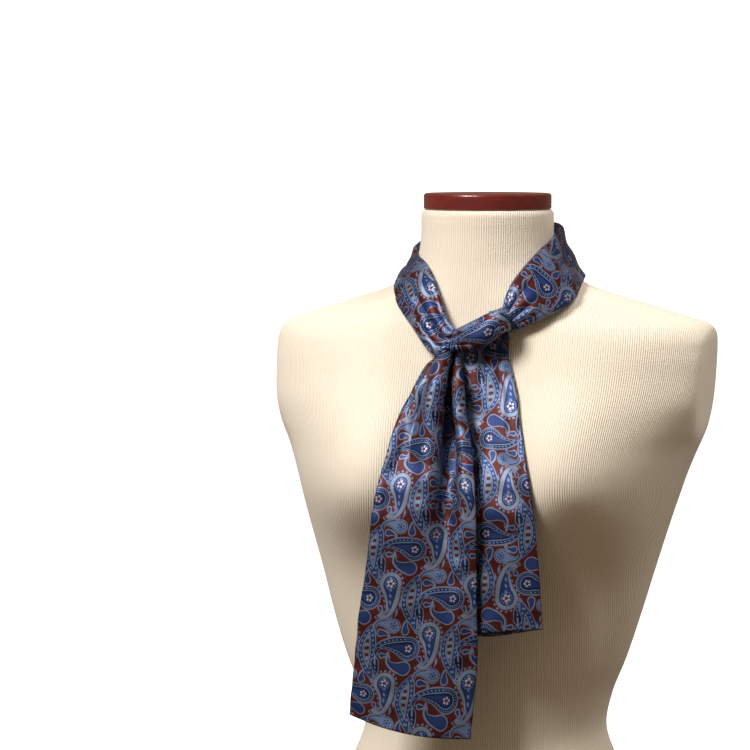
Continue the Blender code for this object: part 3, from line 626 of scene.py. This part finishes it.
BANDS = {
    "border": ((0.05, PEACH), (0.01, MIST)),
    "border_heart": ((-0.30, NAVY), (-0.37, BLUE)),
    "dotted": ((0.06, PEACH), (0.03, PALE_BLUE), (-0.05, BLUE), (-0.09, NAVY), (-0.27, BLUE),
               (-0.31, PALE_BLUE), (-0.39, NAVY), (-0.54, BLUE)),
    "plain": ((0.07, PEACH), (0.04, PALE_BLUE), (-0.04, NAVY), (-0.09, BLUE)),
    "starred": ((0.07, PEACH), (0.04, PALE_BLUE), (-0.03, NAVY), (-0.07, PALE_BLUE)),
    "narrow": ((0.06, PEACH), (0.04, PALE_BLUE), (-0.03, NAVY)),
    "leaf": ((0.06, PEACH), (0.04, PALE_BLUE), (-0.04, NAVY), (-0.09, BLUE), (-0.36, NAVY), (-0.40, MIST),
             (-0.49, NAVY), (-0.52, MIST)),
}
DOT_COLUMNS = ("at", "half", "count", "colour")
DOTS = {
    "round_border": (0.18, 0.075, 17, PALE_BLUE),
    "round_flower": (0.44, 0.05, 14, PALE_BLUE),
    "up_border_heart": (0.0, 0.09, 32, PALE_BLUE),
    "in_band": (-0.18, 0.05, 24, PALE_BLUE),
    "star": (0.40, 0.12, 6, BLUE),
    "up_narrow_heart": (0.0, 0.20, 26, PALE_BLUE),
    "in_leaf_border": (-0.225, 0.08, 16, PALE_BLUE),
    "up_leaf": (-0.70, 0.12, 11, RUST),
}
MOTIF_COLUMNS = ("kind", "x", "y", "turn", "side", "size", "tall")
MOTIFS = (
    ("plain", 1.64, 5.62, 3.10, 1, 0.33, False),
    ("plain", 3.36, 0.98, 1.40, 1, 0.30, False),
    ("plain", -0.20, 3.42, 1.65, -1, 0.22, False),
    ("plain", -0.68, -1.25, 0.30, 1, 0.19, False),
    ("leaf", 1.90, -0.75, 0.05, 1, 1.00, True),
    ("narrow", 2.72, -1.95, 0.12, 1, 0.56, True),
    ("plain", 1.10, 2.50, -1.85, 1, 0.62, False),
    ("starred", 0.02, -2.50, -1.80, -1, 0.62, False),
    ("dotted", 0.95, -4.35, -1.78, -1, 1.08, False),
    ("bordered", 0.0, 0.0, 0.08, 1, 1.06, True),
)


def half_drop(tree, x, y, motif):
    """Coordinates from the motif's nearest copy. Whole columns, or for a motif wider than a column whole
    rows, are taken off first, and each one taken off slides the rest by its share of the drop."""
    x, y = calc(tree, "SUBTRACT", x, motif["x"]), calc(tree, "SUBTRACT", y, motif["y"])
    if motif["tall"]:
        near = calc(tree, "WRAP", x, REPEAT_WIDTH / 4, -REPEAT_WIDTH / 4)
        slid = calc(tree, "MULTIPLY_ADD", calc(tree, "SUBTRACT", x, near), -REPEAT_DROP / REPEAT_WIDTH, y)
        x, y = near, calc(tree, "WRAP", slid, REPEAT_DROP / 2, -REPEAT_DROP / 2)
    else:
        near = calc(tree, "WRAP", y, REPEAT_DROP / 4, -REPEAT_DROP / 4)
        slid = calc(tree, "MULTIPLY_ADD", calc(tree, "SUBTRACT", y, near), -REPEAT_WIDTH / REPEAT_DROP, x)
        x, y = calc(tree, "WRAP", slid, REPEAT_WIDTH / 2, -REPEAT_WIDTH / 2), near
    cosine, sine = np.cos(motif["turn"]) / motif["size"], np.sin(motif["turn"]) / motif["size"]
    turned_x = calc(tree, "MULTIPLY_ADD", y, sine, calc(tree, "MULTIPLY", x, cosine))
    turned_y = calc(tree, "MULTIPLY_ADD", y, cosine, calc(tree, "MULTIPLY", x, -sine))
    return calc(tree, "MULTIPLY", turned_x, motif["side"]), turned_y


def length(tree, x, y):
    """Length of the vector x, y."""
    return calc(tree, "SQRT", calc(tree, "MULTIPLY_ADD", x, x, calc(tree, "MULTIPLY", y, y)))


def comma(tree, x, y, size):
    """Distance outside a paisley's outline, the radius and angle round its fat end, the run along its
    outline, the share of the way from its tip to its fat end, and the distance beside its spine.

    Its spine is a hyperbolic spiral, radius = bend / turn: almost straight where it leaves the fat end, it
    winds into a hook. The shape is a disc at the spine's start and a tail that narrows along it."""
    x, y = calc(tree, "ADD", x, COMMA_MIDDLE[0]), calc(tree, "ADD", y, COMMA_MIDDLE[1])
    radius = length(tree, x, y)
    turn = calc(tree, "WRAP", calc(tree, "ARCTAN2", x, y), 2 * np.pi, 0.0)
    slant = calc(tree, "SQRT", calc(tree, "MULTIPLY_ADD", turn, turn, 1.0))
    beside = calc(tree, "MULTIPLY_ADD", radius, turn, -COMMA["bend"])
    beside = calc(tree, "ABSOLUTE", calc(tree, "DIVIDE", beside, slant))
    tip = COMMA["bend"] / COMMA["end"]
    rise = 1 / (COMMA["reach"] - tip)
    share = calc(tree, "MULTIPLY_ADD", radius, rise, -tip * rise)
    past = calc(tree, "MAXIMUM", calc(tree, "SUBTRACT", share, 1.0),
                calc(tree, "SUBTRACT", turn, COMMA["end"]))
    share = calc(tree, "MAXIMUM", calc(tree, "MINIMUM", share, 1.0), 0.0)
    narrowing = calc(tree, "POWER", share, COMMA["waist_power"])
    narrowing = calc(tree, "MULTIPLY_ADD", narrowing, -COMMA["waist"], 1.0)
    half = calc(tree, "MULTIPLY", calc(tree, "POWER", share, COMMA["taper"]), narrowing)
    half = calc(tree, "MULTIPLY_ADD", half, COMMA["fat"] - COMMA["hook"], COMMA["hook"])
    tail = calc(tree, "SUBTRACT", beside, half)
    tail = calc(tree, "MULTIPLY_ADD", calc(tree, "MAXIMUM", past, 0.0), COMMA["past"], tail)
    lean = COMMA["bend"] / COMMA["reach"]
    x = calc(tree, "ADD", x, -COMMA["reach"] * np.sin(lean))
    y = calc(tree, "ADD", y, -COMMA["reach"] * np.cos(lean))
    fat_radius = length(tree, x, y)
    disc = calc(tree, "SUBTRACT", fat_radius, COMMA["fat"])
    outside = calc(tree, "MULTIPLY", calc(tree, "SMOOTH_MIN", disc, tail, COMMA["joined"]), size)
    on_tail = calc(tree, "GREATER_THAN", disc, tail)
    angle = calc(tree, "ARCTAN2", y, x)
    run_difference = calc(tree, "MULTIPLY_ADD", share, COMMA["run"], calc(tree, "MULTIPLY", angle, -1.0))
    run = calc(tree, "MULTIPLY_ADD", on_tail, run_difference, angle)
    return {"outside": outside, "radius": fat_radius, "angle": angle, "run": run, "share": share,
            "beside": beside}


def banded(tree, name, outside, under):
    """The named colours laid over the ground in bands, by distance outside the outline: each band starts at
    its distance and goes on inwards to the next. Outside the first the ground shows."""
    far = BAND_COVERS["outside"]
    whole = far + BAND_COVERS["inside"]
    ramp = tree.nodes.new("ShaderNodeValToRGB")
    ramp.color_ramp.interpolation = "CONSTANT"
    stops = ramp.color_ramp.elements
    stops[0].position, stops[0].color = 0, (0, 0, 0, 0)
    stops.remove(stops[1])
    for start, colour in BANDS[name]:
        stop = stops.new((far - start) / whole)
        stop.color = (*colour, 1)
    feed(tree, ramp.inputs[0], calc(tree, "MULTIPLY_ADD", outside, -1 / whole, far / whole))
    return blend_colours(tree, ramp.outputs["Alpha"], under, ramp.outputs["Color"])


def dotted(tree, name, distance, run, under):
    """The named row of dots, which lies where the distance is right and the cosine of the run is high."""
    row = dict(zip(DOT_COLUMNS, DOTS[name]))
    near = calc(tree, "COMPARE", distance, row["at"], row["half"])
    wave = calc(tree, "COSINE", calc(tree, "MULTIPLY", run, row["count"]))
    dash = calc(tree, "GREATER_THAN", wave, 0.0)
    return blend_colours(tree, calc(tree, "MULTIPLY", near, dash), under, row["colour"])


def flower(tree, radius, angle, size, under):
    """Five round petals with a dark eye: the angle is folded into a fifth of a turn, and in it a petal is a
    disc at some distance out."""
    fold = calc(tree, "WRAP", angle, np.pi / FLOWER["petals"], -np.pi / FLOWER["petals"])
    out = calc(tree, "MULTIPLY_ADD", radius, calc(tree, "COSINE", fold), -FLOWER["out"] * size)
    side = calc(tree, "MULTIPLY", radius, calc(tree, "SINE", fold))
    petal = calc(tree, "LESS_THAN", length(tree, out, side), FLOWER["petal"] * size)
    painted = blend_colours(tree, petal, under, CREAM_PINK)
    return blend_colours(tree, calc(tree, "LESS_THAN", radius, FLOWER["eye"] * size), painted, RUST)


def bordered(tree, x, y, size, under):
    """Paisley with a broad pale border, narrower down its tail, and a row of dots round it. In its blue
    heart a ring of dots goes round a flower and a row of drops up its middle."""
    at = comma(tree, x, y, size)
    painted = dotted(tree, "round_border", at["outside"], at["run"], under)
    painted = banded(tree, "border", at["outside"], painted)
    narrowing = calc(tree, "MULTIPLY_ADD", at["share"], *BORDER_NARROWING)
    inward = calc(tree, "DIVIDE", at["outside"], narrowing)
    painted = banded(tree, "border_heart", inward, painted)
    painted = dotted(tree, "round_flower", at["radius"], at["angle"], painted)
    heart = calc(tree, "MAXIMUM", at["beside"], calc(tree, "ADD", inward, BORDERED_HEART))
    painted = dotted(tree, "up_border_heart", heart, at["share"], painted)
    return flower(tree, at["radius"], at["angle"], FLOWER_IN_BORDERED, painted)


def dotted_band(tree, x, y, size, under):
    """Paisley with a blue band of pale dots between light lines, and a flower in its navy heart."""
    at = comma(tree, x, y, size)
    inward = calc(tree, "DIVIDE", at["outside"], calc(tree, "MULTIPLY_ADD", at["share"], *BAND_NARROWING))
    painted = banded(tree, "dotted", inward, under)
    painted = dotted(tree, "in_band", inward, at["run"], painted)
    return flower(tree, at["radius"], at["angle"], FLOWER_IN_DOTTED, painted)


def plain(tree, x, y, size, under):
    """Small paisley, solid blue inside one pale line."""
    return banded(tree, "plain", comma(tree, x, y, size)["outside"], under)


def starred(tree, x, y, size, under):
    """Small paisley, light blue with a ring of dark dots about its fat end."""
    at = comma(tree, x, y, size)
    painted = banded(tree, "starred", at["outside"], under)
    painted = dotted(tree, "star", at["radius"], at["angle"], painted)
    return blend_colours(tree, calc(tree, "LESS_THAN", at["radius"], STAR_MIDDLE), painted, BLUE)


def narrow(tree, x, y, size, under):
    """Slim paisley: the comma drawn thin, with pale dots up its navy heart."""
    at = comma(tree, calc(tree, "MULTIPLY", x, NARROW_SQUEEZE), y, size)
    painted = banded(tree, "narrow", at["outside"], under)
    heart = calc(tree, "MAXIMUM", at["beside"], calc(tree, "ADD", at["outside"], NARROW_HEART))
    return dotted(tree, "up_narrow_heart", heart, at["share"], painted)


def leaf(tree, x, y, size, under):
    """Pointed leaf where two large circles cross, bent to one side and widest above its middle, with dots
    in its blue border, a pale almond of dark spots inside and a curl at its foot."""
    half_length, half_width = LEAF["half_length"], LEAF["half_width"]
    raised = calc(tree, "MULTIPLY_ADD", calc(tree, "MULTIPLY", y, y), LEAF["widest_up"] / half_length**2,
                  -LEAF["widest_up"])
    raised = calc(tree, "ADD", raised, y)
    bent = calc(tree, "MULTIPLY_ADD", calc(tree, "MULTIPLY", y, y), -LEAF["bent"], x)
    circle = (half_length**2 + half_width**2) / (2 * half_width)
    across = calc(tree, "ADD", calc(tree, "ABSOLUTE", bent), circle - half_width)
    outside = calc(tree, "SUBTRACT", length(tree, across, raised), circle)
    curl = length(tree, calc(tree, "ADD", x, -LEAF["curl_x"]), calc(tree, "ADD", y, -LEAF["curl_y"]))
    curl = calc(tree, "ADD", curl, -LEAF["curl"])
    outside = calc(tree, "SMOOTH_MIN", outside, curl, LEAF["joined"])
    painted = banded(tree, "leaf", outside, under)
    painted = dotted(tree, "in_leaf_border", outside, y, painted)
    return dotted(tree, "up_leaf", outside, y, painted)


DRAWN = {"bordered": bordered, "dotted": dotted_band, "plain": plain, "starred": starred, "narrow": narrow,
         "leaf": leaf}


TWILL_PITCH = 0.0006
TWILL_RELIEF = {"distance": 0.00004, "strength": 0.4}
SILK_SHADER = {"Metallic": 0.45, "Roughness": 0.46, "Specular IOR Level": 0.30}


def silk_material():
    """Silk satin: the printed motifs on a rust ground, a fine slanting weave, and a soft broad sheen."""
    material, tree, shader = new_material("printed_silk", SILK_SHADER)
    u, v = cloth_coordinates(tree)
    x, y = calc(tree, "MULTIPLY", u, CENTIMETRES), calc(tree, "MULTIPLY", v, CENTIMETRES)
    painted = RUST
    for motif in [dict(zip(MOTIF_COLUMNS, row)) for row in MOTIFS]:
        near_x, near_y = half_drop(tree, x, y, motif)
        painted = DRAWN[motif["kind"]](tree, near_x, near_y, motif["size"], painted)
    feed(tree, shader.inputs["Base Color"], painted)
    twill = calc(tree, "SINE", calc(tree, "MULTIPLY", calc(tree, "ADD", u, v), 2 * np.pi / TWILL_PITCH))
    feed(tree, shader.inputs["Normal"], bump(tree, twill, **TWILL_RELIEF))
    return material


silk = silk_material()
collar = silk_tube("collar", COLLAR_ROWS, COLLAR_FOLDS, **COLLAR)
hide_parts("collar_left", "collar_back", "collar_right")


# Scarf, the knot: the same tube crossing the front as a plump band. It starts at the pinch under the
# strand on image left and turns round the other strand, drawn tight at both ends.
KNOT_ROWS = (
    (0.0, -0.0082, -0.1125, 0.5679, -0.0060, -0.1085, 0.5869, 0.0010, 0.0085),
    (1.0, 0.0076, -0.1150, 0.5685, 0.0032, -0.1100, 0.5910, 0.0018, 0.0150),
    (2.0, 0.0189, -0.1160, 0.5721, 0.0126, -0.1110, 0.5955, 0.0020, 0.0175),
    (3.0, 0.0290, -0.1155, 0.5791, 0.0218, -0.1110, 0.6001, 0.0020, 0.0175),
    (4.0, 0.0360, -0.1135, 0.5852, 0.0302, -0.1095, 0.6036, 0.0015, 0.0150),
    (4.8, 0.0400, -0.1100, 0.5867, 0.0358, -0.1070, 0.6048, 0.0005, 0.0090),
)
KNOT_FOLDS = (
    (-0.6, 3.4, 0.62, 0.74, 0.08, 0.0018, 0.0034, 0.0000),
    (5.8, 2.4, 0.43, 0.30, 0.09, 0.0014, 0.0024, 0.0000),
    (-0.4, 1.6, 0.32, 0.26, 0.05, 0.0010, 0.0016, 0.0000),
    (5.8, 3.0, 0.73, 0.70, 0.05, 0.0010, 0.0020, 0.0000),
)
KNOT = {"span": (-0.14, 4.8), "counts": (70, 36), "seed": 8, "ripple": 0.0002, "edge_fullness": 2.4,
        "print_turn": np.pi / 2, "print_at": (0.015, 0.039)}
knot = silk_tube("knot", KNOT_ROWS, KNOT_FOLDS, **KNOT)
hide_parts("knot_wrap")


# Scarf, the two hanging ends: the tube opens out below the knot from a tight pinch to its full width, in
# folds that die away down the length. Each open end is turned in a few millimetres as a soft rolled hem.
TAIL_LONG_ROWS = (
    (0.0, -0.0242, -0.1012, 0.5742, -0.0045, -0.1036, 0.5783, 0.0000, 0.0070),
    (0.7, -0.0268, -0.1015, 0.5622, -0.0032, -0.1045, 0.5644, 0.0005, 0.0070),
    (1.3, -0.0330, -0.1090, 0.5530, 0.0005, -0.1135, 0.5534, 0.0045, 0.0120),
    (2.0, -0.0397, -0.1165, 0.5394, 0.0038, -0.1220, 0.5405, 0.0050, 0.0130),
    (3.0, -0.0498, -0.1230, 0.5194, 0.0073, -0.1300, 0.5180, 0.0040, 0.0120),
    (3.7, -0.0542, -0.1285, 0.5053, 0.0109, -0.1360, 0.5051, 0.0025, 0.0105),
    (4.9, -0.0590, -0.1405, 0.4812, 0.0166, -0.1460, 0.4822, 0.0000, 0.0080),
    (6.0, -0.0641, -0.1525, 0.4579, 0.0206, -0.1565, 0.4593, -0.0010, 0.0058),
    (7.2, -0.0679, -0.1575, 0.4318, 0.0225, -0.1595, 0.4333, 0.0000, 0.0050),
    (8.8, -0.0715, -0.1575, 0.3982, 0.0228, -0.1590, 0.3998, 0.0010, 0.0045),
    (11.0, -0.0791, -0.1570, 0.3490, 0.0232, -0.1585, 0.3527, 0.0020, 0.0042),
    (13.2, -0.0843, -0.1560, 0.3002, 0.0232, -0.1575, 0.3067, 0.0030, 0.0042),
    (15.0, -0.0881, -0.1555, 0.2620, 0.0175, -0.1565, 0.2460, 0.0040, 0.0045),
)
TAIL_LONG_FOLDS = (
    (-0.6, 10.5, 0.70, 0.71, 0.105, 0.0130, 0.0110, 0.0000),
    (-0.6, 10.0, 0.49, 0.51, 0.130, -0.0080, 0.0000, 0.0035),
    (-0.6, 9.5, 0.88, 0.89, 0.050, -0.0008, 0.0000, 0.0000),
    (-0.4, 6.4, 0.34, 0.24, 0.070, 0.0030, 0.0016, 0.0000),
    (-0.4, 4.4, 0.16, 0.12, 0.050, 0.0014, 0.0008, 0.0000),
    (3.2, 12.5, 0.12, 0.20, 0.080, 0.0016, 0.0004, 0.0000),
    (7.0, 15.6, 0.56, 0.46, 0.120, 0.0022, 0.0006, 0.0000),
    (9.5, 16.0, 0.86, 0.78, 0.070, -0.0016, 0.0000, 0.0000),
)
TAIL_SHORT_ROWS = (
    (0.0, 0.0184, -0.0977, 0.5998, 0.0369, -0.0980, 0.5801, 0.0000, 0.0085),
    (0.5, -0.0010, -0.0965, 0.5830, 0.0370, -0.0975, 0.5715, 0.0000, 0.0062),
    (1.0, -0.0065, -0.0970, 0.5690, 0.0378, -0.0985, 0.5635, 0.0000, 0.0050),
    (1.8, -0.0110, -0.1005, 0.5453, 0.0418, -0.1020, 0.5500, 0.0010, 0.0048),
    (2.6, -0.0132, -0.1045, 0.5293, 0.0477, -0.1060, 0.5325, 0.0010, 0.0045),
    (3.4, -0.0149, -0.1110, 0.5133, 0.0514, -0.1135, 0.5155, 0.0010, 0.0045),
    (4.6, -0.0190, -0.1230, 0.4883, 0.0581, -0.1280, 0.4908, 0.0000, 0.0042),
    (6.0, -0.0228, -0.1370, 0.4593, 0.0657, -0.1450, 0.4620, 0.0000, 0.0042),
    (7.2, -0.0263, -0.1450, 0.4352, 0.0695, -0.1510, 0.4385, 0.0000, 0.0042),
    (8.4, -0.0303, -0.1465, 0.4102, 0.0720, -0.1510, 0.4136, 0.0000, 0.0042),
    (10.2, -0.0334, -0.1465, 0.3740, 0.0750, -0.1495, 0.3772, 0.0010, 0.0042),
    (12.0, -0.0354, -0.1460, 0.3350, 0.0772, -0.1480, 0.3394, 0.0010, 0.0045),
)
TAIL_SHORT_FOLDS = (
    (-0.4, 7.4, 0.52, 0.45, 0.070, 0.0026, 0.0010, 0.0000),
    (-0.4, 5.8, 0.78, 0.80, 0.050, 0.0016, 0.0010, 0.0000),
    (16.0, 8.0, 0.66, 0.60, 0.120, -0.0055, 0.0000, 0.0000),
    (2.0, 9.5, 0.42, 0.36, 0.060, 0.0010, 0.0006, 0.0000),
    (5.6, 13.0, 0.66, 0.72, 0.110, 0.0016, 0.0006, 0.0000),
)
HEM_TURN = 0.006
TAIL_LONG = {"span": (0.0, 15.0), "counts": (200, 60), "seed": 5, "sag": 0.0055, "hem": HEM_TURN,
             "print_at": (0.010, -0.265)}
TAIL_SHORT = {"span": (0.0, 12.0), "counts": (160, 60), "seed": 11, "sag": 0.0015, "back_drop": 0.0040,
              "hem": HEM_TURN, "print_turn": np.pi, "print_at": (-0.026, 0.230)}
tail_long = silk_tube("tail_long_silk", TAIL_LONG_ROWS, TAIL_LONG_FOLDS, **TAIL_LONG)
tail_short = silk_tube("tail_short_silk", TAIL_SHORT_ROWS, TAIL_SHORT_FOLDS, **TAIL_SHORT)
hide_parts("tail_long")
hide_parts("tail_short")

for piece in (collar, knot, tail_long, tail_short):
    piece.data.materials.append(silk)
    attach(piece, "root")


# Studio: a round white floor that bends up into a wall all round, one broad soft lamp high on the left, a
# weaker one high on the right and warm weak light from everywhere.
SWEEP_FLOOR = 4.2
SWEEP_RADIUS = 0.8
SWEEP_TOP = 4.0
SWEEP_SIDES = 96
SWEEP_HOLE = 0.001
SWEEP_INNER = 1.0
SWEEP_BEND_STEPS = 16
SWEEP_BELOW = 0.0005
SWEEP_SHADER = {"Base Color": (0.92, 0.92, 0.92, 1), "Roughness": 0.9, "Emission Color": (1, 1, 1, 1)}
SWEEP_GLOW = {"From Min": 0.25, "From Max": 0.9, "To Min": 0.40, "To Max": 1.0}
LAMP_AIM = (0, -0.05, 0.50)
KEY_LAMP = {"place": (-0.96, -1.70, 2.50), "size": 0.9, "watts": 98}
RIM_LAMP = {"place": (1.46, 0.26, 2.88), "size": 1.1, "watts": 48}
AIR_COLOUR = (1.0, 0.77, 0.56, 1)
AIR_STRENGTH = 0.185
LENS = 164.16
SENSOR_WIDTH = 36.0
EYE_PLACE = (0.6499, -2.9219, 0.7651)
EYE_AIM = (-0.0991, -0.0256, 0.5402)


def sweep():
    """Round floor, quarter bend and wall: a profile of (distance, height) carried once round the form."""
    bend = np.linspace(0, np.pi / 2, SWEEP_BEND_STEPS)
    distance = np.concatenate([[SWEEP_HOLE, SWEEP_INNER], SWEEP_FLOOR + SWEEP_RADIUS * np.sin(bend),
                               [SWEEP_FLOOR + SWEEP_RADIUS]])
    height = np.concatenate([[0, 0], SWEEP_RADIUS * (1 - np.cos(bend)), [SWEEP_TOP]]) - SWEEP_BELOW
    turn = np.linspace(0, 2 * np.pi, SWEEP_SIDES, endpoint=False)
    points = np.stack(np.broadcast_arrays(distance[:, None] * np.cos(turn),
                                          distance[:, None] * np.sin(turn), height[:, None]), axis=-1)
    uv = np.concatenate([points, points[:, :1]], axis=1)[:, :, :2]
    return grid_mesh("sweep", points, uv)


def sweep_material():
    """White paper that glows more the further it lies from the form."""
    material, tree, shader = new_material("sweep_white", SWEEP_SHADER)
    distance = tree.nodes.new("ShaderNodeVectorMath")
    distance.operation = "LENGTH"
    feed(tree, distance.inputs[0], tree.nodes.new("ShaderNodeTexCoord").outputs["Object"])
    glow = tree.nodes.new("ShaderNodeMapRange")
    for socket, value in SWEEP_GLOW.items():
        glow.inputs[socket].default_value = value
    feed(tree, glow.inputs["Value"], distance.outputs["Value"])
    feed(tree, shader.inputs["Emission Strength"], glow.outputs["Result"])
    return material


backdrop = sweep()
backdrop.data.materials.append(sweep_material())
backdrop.visible_diffuse = False
backdrop.visible_glossy = False
backdrop.visible_shadow = False


def point_at(thing, place, aim):
    """Put a lamp or camera at a place with its -Z axis on the aim."""
    thing.location = place
    thing.rotation_euler = (Vector(aim) - Vector(place)).to_track_quat("-Z", "Y").to_euler()


def area_light(name, place, size, watts):
    """Square soft white light at a place, turned to the part."""
    light = bpy.data.lights.new(name, "AREA")
    light.size, light.energy = size, watts
    lamp = bpy.data.objects.new(name, light)
    bpy.context.collection.objects.link(lamp)
    point_at(lamp, place, LAMP_AIM)
    return lamp


area_light("key", **KEY_LAMP)
area_light("rim", **RIM_LAMP).visible_glossy = False
world = bpy.data.worlds.new("studio")
world.use_nodes = True
air = world.node_tree.nodes["Background"]
air.inputs["Color"].default_value = AIR_COLOUR
air.inputs["Strength"].default_value = AIR_STRENGTH
bpy.context.scene.world = world

camera = bpy.data.cameras.new("camera")
camera.lens = LENS
camera.sensor_width = SENSOR_WIDTH
eye = bpy.data.objects.new("camera", camera)
bpy.context.collection.objects.link(eye)
packed = np.array([0, SHIFT_Y, 0])
point_at(eye, EYE_PLACE + packed, EYE_AIM + packed)
bpy.context.scene.camera = eye
bpy.context.scene.view_settings.view_transform = "Standard"
